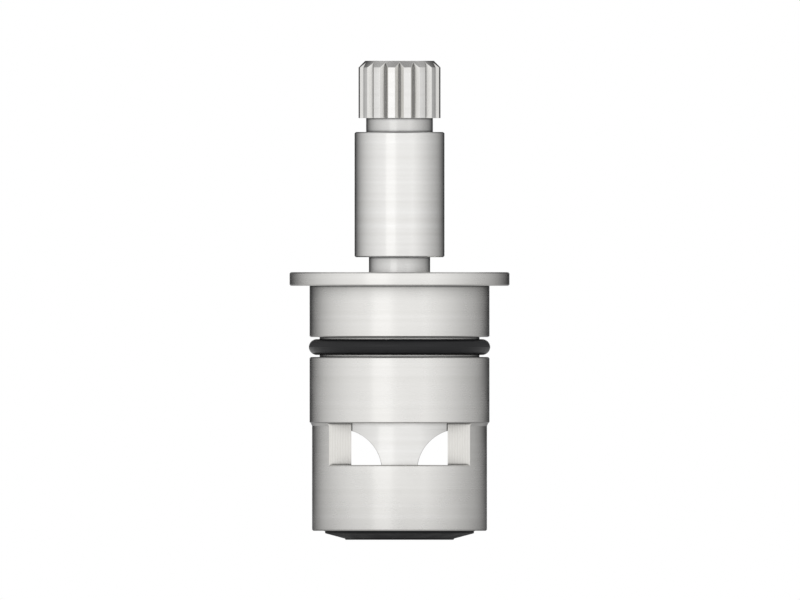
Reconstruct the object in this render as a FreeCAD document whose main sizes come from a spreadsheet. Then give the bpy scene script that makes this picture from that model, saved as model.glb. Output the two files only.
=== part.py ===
import FreeCAD, Part
import math
import os
import Sketcher

# Ceramic disc tap cartridge, quarter turn, at rest in its closed position.
# Height zero is the underside of the flange, the axis is the Z axis, and the windows of
# the cage face the front (-Y) and the back (+Y). All lengths are in millimetres.

# Driving dimensions
SIZES = {
    # Flange and barrel of the body
    "flange_dia": 22.0,
    "flange_height": 1.36,
    "barrel_dia": 18.0,
    "barrel_length": 13.74,
    "ring_groove_depth": 1.0,
    "ring_groove_start": 5.13,
    "ring_groove_width": 1.99,
    "edge_break": 0.12,
    # Cage below the barrel
    "cage_dia": 17.5,
    "cage_chamfer_height": 0.28,
    "body_length": 24.5,
    "window_sill": 0.66,
    "window_flat_distance": 5.18,
    # Chamber inside the cage, and the stops at its top
    "chamber_dia": 14.14,
    "ceiling_depth": 9.4,
    "stop_bore_dia": 11.9,
    "stop_rib_angle": 30.0,
    "turn_angle": 90.0,
    "stop_play_angle": 0.4,
    "key_reach": 7.75,
    "key_width": 3.6,
    # Spindle, from the clip neck up
    "neck_dia": 6.13,
    "neck_height": 1.5,
    "stem_dia": 9.0,
    "stem_height": 12.52,
    "undercut_dia": 6.68,
    "undercut_height": 1.39,
    "head_height": 5.73,
    "spline_dia": 8.24,
    "spline_root_dia": 7.29,
    "spline_groove_angle": 90.0,
    "spline_count": 16,
    "head_chamfer": 0.67,
    "screw_hole_dia": 3.3,
    "screw_hole_depth": 9.0,
    "screw_countersink": 0.45,
    "drill_point_angle": 118.0,
    # Spindle, inside the body
    "shaft_groove_dia": 6.6,
    "shaft_groove_width": 1.9,
    "upper_ring_depth": 2.9,
    "shaft_ring_spacing": 3.4,
    "collar_dia": 11.6,
    "collar_height": 2.3,
    "scoop_dia": 8.48,
    "blade_width": 3.52,
    # Clip and washers
    "clip_height": 0.8,
    "clip_dia": 12.4,
    "clip_opening": 5.6,
    "clip_end_radius": 0.5,
    "clip_washer_height": 0.4,
    "clip_recess_dia": 13.0,
    "thrust_washer_height": 0.8,
    # Ceramic discs
    "moving_disc_height": 2.2,
    "fixed_disc_height": 2.4,
    "drive_slot_depth": 1.0,
    "port_inner_dia": 4.8,
    "port_outer_dia": 8.8,
    "port_angle": 72.0,
    "port_corner_radius": 0.45,
    "disc_chamfer": 0.25,
    # Rings and seal
    "body_ring_height": 1.58,
    "body_ring_proud": 0.08,
    "body_ring_heel": 0.2,
    "body_ring_chords": 6,
    "shaft_ring_height": 1.55,
    "shaft_ring_shoulder": 0.36,
    "seal_recess_depth": 1.32,
    "seal_dia": 14.9,
    "seal_rim_height": 0.25,
    "seal_taper_height": 0.53,
    "seal_land_height": 0.12,
    "seal_land_dia": 10.8,
    "seal_bore_dia": 9.5,
    "support_ring_wall": 0.4,
    "support_ring_setback": 0.3,
    # Clearances, each on one side, and the overrun of the cutters
    "stem_clearance": 0.05,
    "foot_clearance": 0.07,
    "disc_clearance": 0.12,
    "blade_clearance": 0.06,
    "key_clearance": 0.1,
    "recess_clearance": 0.15,
    "ring_clearance": 0.02,
    "seal_clearance": 0.05,
    "washer_clearance": 0.12,
    "rib_clearance": 0.15,
    "cutter_overrun": 1.0,
}

doc = FreeCAD.newDocument("tap_cartridge")
sheet = doc.addObject("Spreadsheet::Sheet", "Size")
for row, (alias, number) in enumerate(SIZES.items(), start=1):
    sheet.set(f"A{row}", alias)
    sheet.set(f"B{row}", str(number))
    sheet.setAlias(f"B{row}", alias)
doc.recompute()

# Levels above the flange's underside, worked out from the sizes
FLANGE_TOP = "(Size.flange_height)"
STEM_FOOT = f"({FLANGE_TOP} + Size.neck_height)"
STEM_TOP = f"({STEM_FOOT} + Size.stem_height)"
HEAD_FOOT = f"({STEM_TOP} + Size.undercut_height)"
HEAD_TOP = f"({HEAD_FOOT} + Size.head_height)"

# Levels below it
GROOVE_TOP = "(-Size.ring_groove_start)"
GROOVE_FOOT = f"({GROOVE_TOP} - Size.ring_groove_width)"
BARREL_FOOT = "(-Size.barrel_length)"
CAGE_TOP = f"({BARREL_FOOT} - Size.cage_chamfer_height)"
BODY_FOOT = "(-Size.body_length)"
SEAL_TOP = f"({BODY_FOOT} + Size.seal_recess_depth)"
DISC_JOINT = f"({SEAL_TOP} + Size.fixed_disc_height)"
DISC_TOP = f"({DISC_JOINT} + Size.moving_disc_height)"
WINDOW_FOOT = f"({DISC_TOP} + Size.window_sill)"
SLOT_FLOOR = f"({DISC_TOP} - Size.drive_slot_depth)"
CEILING = "(-Size.ceiling_depth)"
COLLAR_TOP = f"({CEILING} - Size.thrust_washer_height)"
FOOT_TOP = f"({COLLAR_TOP} - Size.collar_height)"
STOP_FOOT = f"({FOOT_TOP} + Size.rib_clearance)"

# The recess that hides the clip and its washer below the flange's top
RECESS_FLOOR = f"({FLANGE_TOP} - Size.clip_height - Size.clip_washer_height - Size.ring_clearance)"
CLIP_FOOT = f"({RECESS_FLOOR} + Size.clip_washer_height)"
SHAFT_TOP = f"({RECESS_FLOOR} - Size.rib_clearance)"

# Radii that several pieces share
STEM_RADIUS = "(Size.stem_dia / 2)"
SHAFT_BORE = f"({STEM_RADIUS} + Size.stem_clearance)"
CHAMBER_RADIUS = "(Size.chamber_dia / 2)"
FOOT_RADIUS = f"({CHAMBER_RADIUS} - Size.foot_clearance)"
DISC_RADIUS = f"({CHAMBER_RADIUS} - Size.disc_clearance)"
GROOVE_RADIUS = "(Size.barrel_dia / 2 - Size.ring_groove_depth)"


def value(text):
    """Number that an expression of the sizes comes to."""
    return float(sheet.evalExpression(text.replace("Size.", "")))


def new_body(name):
    """A piece of its own, whose label names its file."""
    body = doc.addObject("PartDesign::Body", name)
    body.Label = name
    return body


def origin_feature(body, role):
    """One of the planes or axes that a piece is drawn on."""
    return next(item for item in body.Origin.OriginFeatures if item.Role == role)


def new_sketch(body, name, role, height="0"):
    """A sketch on a plane of its own piece, lifted along the plane's normal."""
    sketch = body.newObject("Sketcher::SketchObject", f"{body.Name}_{name}")
    sketch.AttachmentSupport = [(origin_feature(body, role), "")]
    sketch.MapMode = "FlatFace"
    if height != "0":
        sketch.setExpression("AttachmentOffset.Base.z", height)
    doc.recompute()
    return sketch


def tie(sketch, kind, item, spot, text):
    """Hold one coordinate of a point at an expression of the sizes."""
    index = sketch.addConstraint(Sketcher.Constraint(kind, -1, 1, item, spot, value(text)))
    name = f"{kind}_{item}_{spot}"
    sketch.renameConstraint(index, name)
    if "Size." in text:
        sketch.setExpression(f"Constraints.{name}", text)


def tie_radius(sketch, item, text):
    """Hold the radius of a circle at an expression of the sizes."""
    index = sketch.addConstraint(Sketcher.Constraint("Radius", item, value(text)))
    sketch.renameConstraint(index, f"radius_{item}")
    sketch.setExpression(f"Constraints.radius_{item}", text)


def draw_circle(sketch, radius, centre=("0", "0")):
    """A circle with its centre and radius tied to the sizes."""
    spot = FreeCAD.Vector(value(centre[0]), value(centre[1]), 0)
    item = sketch.addGeometry(Part.Circle(spot, FreeCAD.Vector(0, 0, 1), value(radius)))
    tie(sketch, "DistanceX", item, 3, centre[0])
    tie(sketch, "DistanceY", item, 3, centre[1])
    tie_radius(sketch, item, radius)


def draw_outline(sketch, corners):
    """A closed outline whose corners are tied to the sizes.

    A corner is (x, y). Where an arc arrives at it, it is (x, y, centre, turn), and the turn
    is 1 for anticlockwise and -1 for clockwise. The end of an arc keeps one coordinate of its
    own, because its centre and start give the other.
    """
    points = [FreeCAD.Vector(value(corner[0]), value(corner[1]), 0) for corner in corners]
    ends = []
    for number, corner in enumerate(corners):
        start = points[number - 1]
        end = points[number]
        if len(corner) == 2:
            item = sketch.addGeometry(Part.LineSegment(start, end))
            ends.append((item, 1, 2))
            continue
        centre = FreeCAD.Vector(value(corner[2][0]), value(corner[2][1]), 0)
        low, high = (start, end) if corner[3] > 0 else (end, start)
        low_angle = math.atan2(low.y - centre.y, low.x - centre.x)
        high_angle = math.atan2(high.y - centre.y, high.x - centre.x)
        if high_angle <= low_angle:
            high_angle += 2 * math.pi
        circle = Part.Circle(centre, FreeCAD.Vector(0, 0, 1), (start - centre).Length)
        item = sketch.addGeometry(Part.ArcOfCircle(circle, low_angle, high_angle))
        ends.append((item, 1, 2) if corner[3] > 0 else (item, 2, 1))
    for number in range(len(corners)):
        arriving, _, end_spot = ends[number]
        leaving, start_spot, _ = ends[(number + 1) % len(corners)]
        joint = Sketcher.Constraint("Coincident", arriving, end_spot, leaving, start_spot)
        sketch.addConstraint(joint)
    for number, corner in enumerate(corners):
        item, _, end_spot = ends[number]
        if len(corner) == 2:
            tie(sketch, "DistanceX", item, end_spot, corner[0])
            tie(sketch, "DistanceY", item, end_spot, corner[1])
            continue
        tie(sketch, "DistanceX", item, 3, corner[2][0])
        tie(sketch, "DistanceY", item, 3, corner[2][1])
        across = abs(points[number].x - value(corner[2][0]))
        along = abs(points[number].y - value(corner[2][1]))
        if across > along:
            tie(sketch, "DistanceY", item, end_spot, corner[1])
        else:
            tie(sketch, "DistanceX", item, end_spot, corner[0])


def draw_rectangle(sketch, left, low, right, high):
    """A rectangle between two opposite corners."""
    draw_outline(sketch, [(left, low), (right, low), (right, high), (left, high)])


def draw_sector(sketch, inner, outer, first, last):
    """A piece of a ring round the axis, between two angles in degrees."""
    centre = ("0", "0")
    draw_outline(sketch, [
        (f"{inner} * cos({first})", f"{inner} * sin({first})"),
        (f"{outer} * cos({first})", f"{outer} * sin({first})"),
        (f"{outer} * cos({last})", f"{outer} * sin({last})", centre, 1),
        (f"{inner} * cos({last})", f"{inner} * sin({last})"),
    ])


def changed(body, feature, before, growing):
    """Take a new feature as the piece's tip, and stop if it added or cut nothing."""
    body.Tip = feature
    doc.recompute()
    after = feature.Shape.Volume
    if growing != (after > before) or abs(after - before) < 1e-6:
        raise RuntimeError(f"{feature.Name} went the wrong way: {before:.4f} to {after:.4f}")
    return feature


def volume_of(body):
    """Volume of a piece so far."""
    return body.Tip.Shape.Volume if body.Tip else 0.0


def revolve(body, sketch, cut=False):
    """Turn a half section about the axis, as material or as a cut."""
    before = volume_of(body)
    kind = "Groove" if cut else "Revolution"
    feature = body.newObject(f"PartDesign::{kind}", f"{sketch.Name}_{kind.lower()}")
    feature.Profile = sketch
    feature.ReferenceAxis = (sketch, ["V_Axis"])
    feature.Angle = 360
    sketch.Visibility = False
    return changed(body, feature, before, not cut)


def extrude(body, sketch, length, cut=False, upwards=False, midplane=False):
    """Draw a sketch out along its normal, as material or as a cut."""
    before = volume_of(body)
    kind = "Pocket" if cut else "Pad"
    feature = body.newObject(f"PartDesign::{kind}", f"{sketch.Name}_{kind.lower()}")
    feature.Profile = sketch
    feature.setExpression("Length", length)
    feature.Reversed = upwards == cut
    feature.Midplane = midplane
    sketch.Visibility = False
    return changed(body, feature, before, not cut)


def repeat_round(body, feature, count, growing=False):
    """Copies of a feature, evenly spaced round the axis."""
    before = volume_of(body)
    pattern = body.newObject("PartDesign::PolarPattern", f"{feature.Name}_round")
    pattern.Originals = [feature]
    pattern.Axis = (origin_feature(body, "Z_Axis"), [""])
    pattern.Angle = 360
    if "Size." in count:
        pattern.setExpression("Occurrences", count)
    else:
        pattern.Occurrences = int(count)
    return changed(body, pattern, before, growing)


def rim_names(shape, radius, height):
    """Names of the edges that lie on a circle round the axis, at a height."""
    names = []
    for number, edge in enumerate(shape.Edges, start=1):
        if not isinstance(edge.Curve, Part.Circle):
            continue
        centre = edge.Curve.Center
        off_axis = math.hypot(centre.x, centre.y) > 1e-6
        off_size = abs(edge.Curve.Radius - value(radius)) > 1e-4
        if not off_axis and not off_size and abs(centre.z - value(height)) < 1e-4:
            names.append(f"Edge{number}")
    if not names:
        raise RuntimeError(f"no rim of radius {radius} at height {height}")
    return names


def break_rims(body, rims, size, name):
    """Chamfer the circular edges given as (radius, height) pairs."""
    before = volume_of(body)
    base = body.Tip
    names = []
    for radius, height in rims:
        names += rim_names(base.Shape, radius, height)
    feature = body.newObject("PartDesign::Chamfer", f"{body.Name}_{name}")
    feature.Base = (base, names)
    feature.setExpression("Size", size)
    return changed(body, feature, before, False)


def upright_names(shape, low, high, keep):
    """Names of the straight upright edges between two heights whose place passes a test."""
    names = []
    for number, edge in enumerate(shape.Edges, start=1):
        if not isinstance(edge.Curve, Part.Line):
            continue
        top = max(vertex.Z for vertex in edge.Vertexes)
        bottom = min(vertex.Z for vertex in edge.Vertexes)
        first, last = edge.Vertexes[0].Point, edge.Vertexes[-1].Point
        leaning = math.hypot(first.x - last.x, first.y - last.y) > 1e-6
        inside = bottom > value(low) - 1e-4 and top < value(high) + 1e-4
        if inside and not leaning and keep(first):
            names.append(f"Edge{number}")
    return names


def round_uprights(body, low, high, keep, radius, name, growing=False):
    """Fillet the straight upright edges whose place passes a test."""
    before = volume_of(body)
    base = body.Tip
    feature = body.newObject("PartDesign::Fillet", f"{body.Name}_{name}")
    feature.Base = (base, upright_names(base.Shape, low, high, keep))
    feature.setExpression("Radius", radius)
    return changed(body, feature, before, growing)


def make_cartridge_body():
    """Turned headwork: the flange, the barrel with its ring groove, and the milled cage."""
    body = new_body("cartridge_body")

    # Turned outside
    blank = new_sketch(body, "blank", "XZ_Plane")
    draw_outline(blank, [
        ("0", FLANGE_TOP),
        ("0", BODY_FOOT),
        ("Size.cage_dia / 2", BODY_FOOT),
        ("Size.cage_dia / 2", CAGE_TOP),
        ("Size.barrel_dia / 2 - Size.edge_break", BARREL_FOOT),
        ("Size.barrel_dia / 2", f"{BARREL_FOOT} + Size.edge_break"),
        ("Size.barrel_dia / 2", "0"),
        ("Size.flange_dia / 2", "0"),
        ("Size.flange_dia / 2", FLANGE_TOP),
    ])
    revolve(body, blank)

    # Groove for the ring that seals the barrel in the tap
    groove = new_sketch(body, "ring_groove", "XZ_Plane")
    overrun_radius = "(Size.barrel_dia / 2 + Size.cutter_overrun)"
    draw_rectangle(groove, GROOVE_RADIUS, GROOVE_FOOT, overrun_radius, GROOVE_TOP)
    revolve(body, groove, cut=True)

    # Chamber bored from below: seal recess, disc chamber and the narrower bore of the stops
    seal_recess = "(Size.seal_dia / 2 + Size.seal_clearance)"
    chamber_foot = f"({BODY_FOOT} - Size.cutter_overrun)"
    chamber = new_sketch(body, "chamber", "XZ_Plane")
    draw_outline(chamber, [
        ("0", CEILING),
        ("0", chamber_foot),
        (seal_recess, chamber_foot),
        (seal_recess, SEAL_TOP),
        (CHAMBER_RADIUS, SEAL_TOP),
        (CHAMBER_RADIUS, STOP_FOOT),
        ("Size.stop_bore_dia / 2", STOP_FOOT),
        ("Size.stop_bore_dia / 2", CEILING),
    ])
    revolve(body, chamber, cut=True)

    # Bore for the spindle, with the clip's recess in the flange's top
    recess_top = f"({FLANGE_TOP} + Size.cutter_overrun)"
    bore_foot = f"({CEILING} - Size.cutter_overrun)"
    bore = new_sketch(body, "bore", "XZ_Plane")
    draw_outline(bore, [
        ("0", recess_top),
        ("0", bore_foot),
        (SHAFT_BORE, bore_foot),
        (SHAFT_BORE, RECESS_FLOOR),
        ("Size.clip_recess_dia / 2", RECESS_FLOOR),
        ("Size.clip_recess_dia / 2", recess_top),
    ])
    revolve(body, bore, cut=True)

    # Pockets beside the two stop ribs, in which the lugs of the spindle swing
    swing = new_sketch(body, "stop_pocket", "XY_Plane", CEILING)
    draw_sector(
        swing,
        "(Size.stop_bore_dia / 2 - Size.rib_clearance)",
        CHAMBER_RADIUS,
        "(Size.stop_rib_angle / 2)",
        "(180 - Size.stop_rib_angle / 2)",
    )
    depth = f"{CEILING} - {STOP_FOOT}"
    repeat_round(body, extrude(body, swing, depth, cut=True), "2")

    # Windows: flats milled across the cage until they break into the chamber
    reach = "(Size.barrel_dia / 2 + Size.cutter_overrun)"
    flat = new_sketch(body, "window", "XY_Plane", BARREL_FOOT)
    draw_rectangle(flat, f"-{reach}", f"-{reach}", reach, "-Size.window_flat_distance")
    window_height = f"{BARREL_FOOT} - {WINDOW_FOOT}"
    repeat_round(body, extrude(body, flat, window_height, cut=True), "2")

    # Keyways for the lugs of the fixed disc and of the seal, milled up from below
    keyway = new_sketch(body, "keyway", "XY_Plane", BODY_FOOT)
    draw_rectangle(
        keyway,
        "-Size.key_reach",
        "-Size.key_width / 2",
        "Size.key_reach",
        "Size.key_width / 2",
    )
    key_height = f"{DISC_JOINT} + Size.key_clearance - {BODY_FOOT}"
    extrude(body, keyway, key_height, cut=True, upwards=True)

    # Edges broken after turning and milling
    break_rims(body, [
        ("Size.flange_dia / 2", FLANGE_TOP),
        ("Size.flange_dia / 2", "0"),
        ("Size.clip_recess_dia / 2", FLANGE_TOP),
        ("Size.barrel_dia / 2", GROOVE_TOP),
        ("Size.barrel_dia / 2", GROOVE_FOOT),
        ("Size.cage_dia / 2", WINDOW_FOOT),
        ("Size.cage_dia / 2", BODY_FOOT),
    ], "Size.edge_break", "edges")
    return body


def make_spindle():
    """Splined head, stem, shaft with two ring grooves, stop lugs and the scooped foot."""
    body = new_body("spindle")

    # Turned outside
    blank = new_sketch(body, "blank", "XZ_Plane")
    draw_outline(blank, [
        ("0", HEAD_TOP),
        ("0", SLOT_FLOOR),
        (FOOT_RADIUS, SLOT_FLOOR),
        (FOOT_RADIUS, COLLAR_TOP),
        (STEM_RADIUS, COLLAR_TOP),
        (STEM_RADIUS, SHAFT_TOP),
        ("Size.neck_dia / 2", SHAFT_TOP),
        ("Size.neck_dia / 2", STEM_FOOT),
        (STEM_RADIUS, STEM_FOOT),
        (STEM_RADIUS, STEM_TOP),
        ("Size.undercut_dia / 2", STEM_TOP),
        ("Size.undercut_dia / 2", HEAD_FOOT),
        ("Size.spline_dia / 2", HEAD_FOOT),
        ("Size.spline_dia / 2", f"{HEAD_TOP} - Size.head_chamfer"),
        ("Size.spline_dia / 2 - Size.head_chamfer", HEAD_TOP),
    ])
    revolve(body, blank)
    break_rims(body, [
        (STEM_RADIUS, STEM_TOP),
        (STEM_RADIUS, STEM_FOOT),
    ], "Size.edge_break", "edges")

    # Two grooves for the rings that keep the water below the handle
    grooves = new_sketch(body, "ring_grooves", "XZ_Plane")
    overrun_radius = f"({STEM_RADIUS} + Size.cutter_overrun)"
    for middle in (upper_ring_middle(), lower_ring_middle()):
        low = f"({middle} - Size.shaft_groove_width / 2)"
        high = f"({middle} + Size.shaft_groove_width / 2)"
        draw_rectangle(grooves, "Size.shaft_groove_dia / 2", low, overrun_radius, high)
    revolve(body, grooves, cut=True)

    # Collar turned back between two lugs, which meet the stop ribs at either end of the turn
    lug_start = "(Size.stop_rib_angle / 2 + Size.stop_play_angle)"
    lug_end = "(180 - Size.turn_angle - Size.stop_rib_angle / 2 - Size.stop_play_angle)"
    relief = new_sketch(body, "stop_relief", "XY_Plane", COLLAR_TOP)
    draw_sector(
        relief,
        "(Size.collar_dia / 2)",
        f"({FOOT_RADIUS} + Size.cutter_overrun)",
        lug_end,
        f"(180 + {lug_start})",
    )
    repeat_round(body, extrude(body, relief, "Size.collar_height", cut=True), "2")

    # Scoops milled across the foot, round at the top, which leave the drive blade between them
    scoop_near = "(Size.blade_width / 2)"
    scoop_far = "(Size.blade_width / 2 + Size.scoop_dia)"
    scoop_middle = "(Size.blade_width / 2 + Size.scoop_dia / 2)"
    scoop_foot = f"({SLOT_FLOOR} - Size.cutter_overrun)"
    scoop = new_sketch(body, "scoop", "XZ_Plane")
    draw_outline(scoop, [
        (scoop_near, scoop_foot),
        (scoop_far, scoop_foot),
        (scoop_far, DISC_TOP),
        (scoop_near, DISC_TOP, (scoop_middle, DISC_TOP), 1),
    ])
    width = "Size.chamber_dia + 2 * Size.cutter_overrun"
    repeat_round(body, extrude(body, scoop, width, cut=True, midplane=True), "2")

    # Splines: V grooves cut along the head, the first one facing the front
    root = "(Size.spline_root_dia / 2)"
    v_depth = f"(Size.spline_dia / 2 - {root} + Size.cutter_overrun)"
    v_half = f"({v_depth} * tan(Size.spline_groove_angle / 2))"
    spline = new_sketch(body, "spline", "XY_Plane", HEAD_TOP)
    draw_outline(spline, [
        ("0", f"-{root}"),
        (f"-{v_half}", f"-({root} + {v_depth})"),
        (v_half, f"-({root} + {v_depth})"),
    ])
    tooth = extrude(body, spline, "Size.head_height", cut=True)
    repeat_round(body, tooth, "Size.spline_count")

    # Drilled and countersunk hole for the handle's screw
    hole_radius = "(Size.screw_hole_dia / 2)"
    sink_radius = f"({hole_radius} + Size.screw_countersink)"
    hole_foot = f"({HEAD_TOP} - Size.screw_hole_depth)"
    point_height = f"({hole_radius} / tan(Size.drill_point_angle / 2))"
    hole = new_sketch(body, "screw_hole", "XZ_Plane")
    draw_outline(hole, [
        ("0", HEAD_TOP),
        ("0", f"{hole_foot} - {point_height}"),
        (hole_radius, hole_foot),
        (hole_radius, f"{HEAD_TOP} - Size.screw_countersink"),
        (sink_radius, HEAD_TOP),
    ])
    revolve(body, hole, cut=True)
    return body


def upper_ring_middle():
    """Height of the middle of the upper ring on the shaft."""
    return "(-Size.upper_ring_depth)"


def lower_ring_middle():
    """Height of the middle of the lower ring on the shaft."""
    return "(-Size.upper_ring_depth - Size.shaft_ring_spacing)"


def rounded_side(centre, radius, first, chords):
    """Corners along a half circle of a ring's section, anticlockwise, as short chords."""
    corners = []
    for number in range(chords + 1):
        angle = f"({first} + {180 * number / chords})"
        x = f"{centre[0]} + {radius} * cos({angle})"
        y = f"{centre[1]} + {radius} * sin({angle})"
        corners.append((x, y))
    return corners


def make_shaft_ring(name, middle):
    """Rubber ring squeezed between the shaft's groove and the bore, flat where it is held."""
    body = new_body(name)
    inner = "(Size.shaft_groove_dia / 2 + Size.ring_clearance)"
    outer = f"({SHAFT_BORE} - Size.ring_clearance)"
    low = f"({middle} - Size.shaft_ring_height / 2)"
    high = f"({middle} + Size.shaft_ring_height / 2)"
    shoulder = "Size.shaft_ring_shoulder"
    section = new_sketch(body, "section", "XZ_Plane")
    draw_outline(section, [
        (inner, f"{low} + {shoulder}"),
        (f"{inner} + {shoulder}", low),
        (f"{outer} - {shoulder}", low),
        (outer, f"{low} + {shoulder}"),
        (outer, f"{high} - {shoulder}"),
        (f"{outer} - {shoulder}", high),
        (f"{inner} + {shoulder}", high),
        (inner, f"{high} - {shoulder}"),
    ])
    revolve(body, section)
    return body


def make_body_ring():
    """Rubber ring stretched on the barrel's groove: flat inside, round where it meets the tap."""
    body = new_body("body_oring")
    inner = f"({GROOVE_RADIUS} + Size.ring_clearance)"
    outer = "(Size.barrel_dia / 2 + Size.body_ring_proud)"
    bulge = "(Size.body_ring_height / 2)"
    heel = "Size.body_ring_heel"
    centre = f"({outer} - {bulge})"
    middle = f"(({GROOVE_TOP} + {GROOVE_FOOT}) / 2)"
    outer_side = rounded_side((centre, middle), bulge, -90, SIZES["body_ring_chords"])
    section = new_sketch(body, "section", "XZ_Plane")
    draw_outline(section, outer_side + [
        (f"{inner} + {heel}", f"{middle} + {bulge}"),
        (inner, f"{middle} + {bulge} - {heel}"),
        (inner, f"{middle} - {bulge} + {heel}"),
        (f"{inner} + {heel}", f"{middle} - {bulge}"),
    ])
    revolve(body, section)
    return body


def make_washer(name, inner, outer, foot, height):
    """Flat slip washer."""
    body = new_body(name)
    face = new_sketch(body, "face", "XY_Plane", foot)
    draw_circle(face, outer)
    draw_circle(face, inner)
    extrude(body, face, height, upwards=True)
    return body


def make_retaining_clip():
    """Open spring clip, pushed on the neck from the side and dropped into the recess."""
    body = new_body("retaining_clip")
    inner = "(Size.neck_dia / 2 + Size.blade_clearance)"
    outer = "(Size.clip_dia / 2)"
    face = new_sketch(body, "face", "XY_Plane", CLIP_FOOT)
    draw_circle(face, outer)
    draw_circle(face, inner)
    extrude(body, face, "Size.clip_height", upwards=True)
    mouth = new_sketch(body, "mouth", "XY_Plane", CLIP_FOOT)
    reach = f"({outer} + Size.cutter_overrun)"
    draw_rectangle(mouth, "0", "-Size.clip_opening / 2", reach, "Size.clip_opening / 2")
    extrude(body, mouth, "Size.clip_height", cut=True, upwards=True)
    top = f"({CLIP_FOOT} + Size.clip_height)"
    tips = lambda point: math.hypot(point.x, point.y) > value(f"({inner} + {outer}) / 2")
    round_uprights(body, CLIP_FOOT, top, tips, "Size.clip_end_radius", "tips")
    return body


def cut_ports(body, top, height, middle_angle):
    """Two opposite sector ports through a disc, with rounded corners."""
    half = "(Size.port_angle / 2)"
    ports = new_sketch(body, "port", "XY_Plane", top)
    first = f"({middle_angle} - {half})"
    last = f"({middle_angle} + {half})"
    draw_sector(ports, "(Size.port_inner_dia / 2)", "(Size.port_outer_dia / 2)", first, last)
    repeat_round(body, extrude(body, ports, height, cut=True), "2")
    inner = value("Size.port_inner_dia / 2")
    outer = value("Size.port_outer_dia / 2")
    corner = lambda point: (
        abs(math.hypot(point.x, point.y) - inner) < 1e-4
        or abs(math.hypot(point.x, point.y) - outer) < 1e-4
    )
    foot = f"({top} - {height})"
    round_uprights(body, foot, top, corner, "Size.port_corner_radius", "port_corners", growing=True)


def make_moving_disc():
    """Ceramic disc that turns with the spindle: drive slot on top, ports beside the blade."""
    body = new_body("moving_disc")
    face = new_sketch(body, "face", "XY_Plane", DISC_JOINT)
    draw_circle(face, DISC_RADIUS)
    extrude(body, face, "Size.moving_disc_height", upwards=True)
    break_rims(body, [(DISC_RADIUS, DISC_TOP)], "Size.disc_chamfer", "edges")
    cut_ports(body, DISC_TOP, "Size.moving_disc_height", "0")
    slot_half = "(Size.blade_width / 2 + Size.blade_clearance)"
    reach = f"({DISC_RADIUS} + Size.cutter_overrun)"
    slot = new_sketch(body, "slot", "XY_Plane", DISC_TOP)
    draw_rectangle(slot, f"-{slot_half}", f"-{reach}", slot_half, reach)
    extrude(body, slot, "Size.drive_slot_depth", cut=True)
    return body


def make_fixed_disc():
    """Ceramic disc that stays in the cage: two lugs in the keyways, ports under the windows."""
    body = new_body("fixed_disc")
    face = new_sketch(body, "face", "XY_Plane", SEAL_TOP)
    draw_circle(face, DISC_RADIUS)
    extrude(body, face, "Size.fixed_disc_height", upwards=True)
    break_rims(body, [(DISC_RADIUS, SEAL_TOP)], "Size.disc_chamfer", "edges")
    reach = "(Size.key_reach - Size.key_clearance)"
    half = "(Size.key_width / 2 - Size.key_clearance)"
    lugs = new_sketch(body, "lugs", "XY_Plane", SEAL_TOP)
    draw_rectangle(lugs, f"-{reach}", f"-{half}", reach, half)
    extrude(body, lugs, "Size.fixed_disc_height", upwards=True)
    cut_ports(body, DISC_JOINT, "Size.fixed_disc_height", "90")
    return body


def make_bottom_seal():
    """Rubber seal: a collar in the cage's recess and a tapered nose that meets the tap's seat."""
    body = new_body("bottom_seal")
    outer = "(Size.seal_dia / 2)"
    bore = "(Size.seal_bore_dia / 2)"
    rim_foot = f"({BODY_FOOT} - Size.seal_rim_height)"
    taper_foot = f"({rim_foot} - Size.seal_taper_height)"
    land_foot = f"({taper_foot} - Size.seal_land_height)"
    section = new_sketch(body, "section", "XZ_Plane")
    draw_outline(section, [
        (bore, SEAL_TOP),
        (bore, land_foot),
        ("Size.seal_land_dia / 2", land_foot),
        ("Size.seal_land_dia / 2 + Size.seal_land_height / 2", taper_foot),
        (outer, rim_foot),
        (outer, SEAL_TOP),
    ])
    revolve(body, section)
    ear = new_sketch(body, "ear", "XY_Plane", BODY_FOOT)
    reach = "(Size.key_reach - Size.key_clearance)"
    half = "(Size.key_width / 2 - Size.key_clearance)"
    draw_rectangle(ear, f"({outer} - Size.cutter_overrun)", f"-{half}", reach, half)
    pad = extrude(body, ear, f"{SEAL_TOP} - {BODY_FOOT}", upwards=True)
    repeat_round(body, pad, "2", growing=True)
    return body


def make_support_ring():
    """Stiff ring in the seal's bore, a little short of the seal's lower face."""
    body = new_body("seal_support_ring")
    outer = "(Size.seal_bore_dia / 2 - Size.ring_clearance)"
    inner = "(Size.seal_bore_dia / 2 - Size.support_ring_wall)"
    foot = (
        f"({BODY_FOOT} - Size.seal_rim_height - Size.seal_taper_height"
        " - Size.seal_land_height + Size.support_ring_setback)"
    )
    face = new_sketch(body, "face", "XY_Plane", foot)
    draw_circle(face, outer)
    draw_circle(face, inner)
    extrude(body, face, f"{SEAL_TOP} - {foot}", upwards=True)
    return body


pieces = [
    make_cartridge_body(),
    make_spindle(),
    make_shaft_ring("spindle_oring_upper", upper_ring_middle()),
    make_shaft_ring("spindle_oring_lower", lower_ring_middle()),
    make_body_ring(),
    make_washer(
        "clip_washer",
        f"({SHAFT_BORE} + Size.washer_clearance)",
        "(Size.clip_recess_dia / 2 - Size.recess_clearance)",
        RECESS_FLOOR,
        "Size.clip_washer_height",
    ),
    make_retaining_clip(),
    make_washer(
        "thrust_washer",
        f"({STEM_RADIUS} + Size.washer_clearance)",
        "(Size.stop_bore_dia / 2 - Size.recess_clearance)",
        COLLAR_TOP,
        "Size.thrust_washer_height",
    ),
    make_moving_disc(),
    make_fixed_disc(),
    make_bottom_seal(),
    make_support_ring(),
]
doc.recompute()

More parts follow.
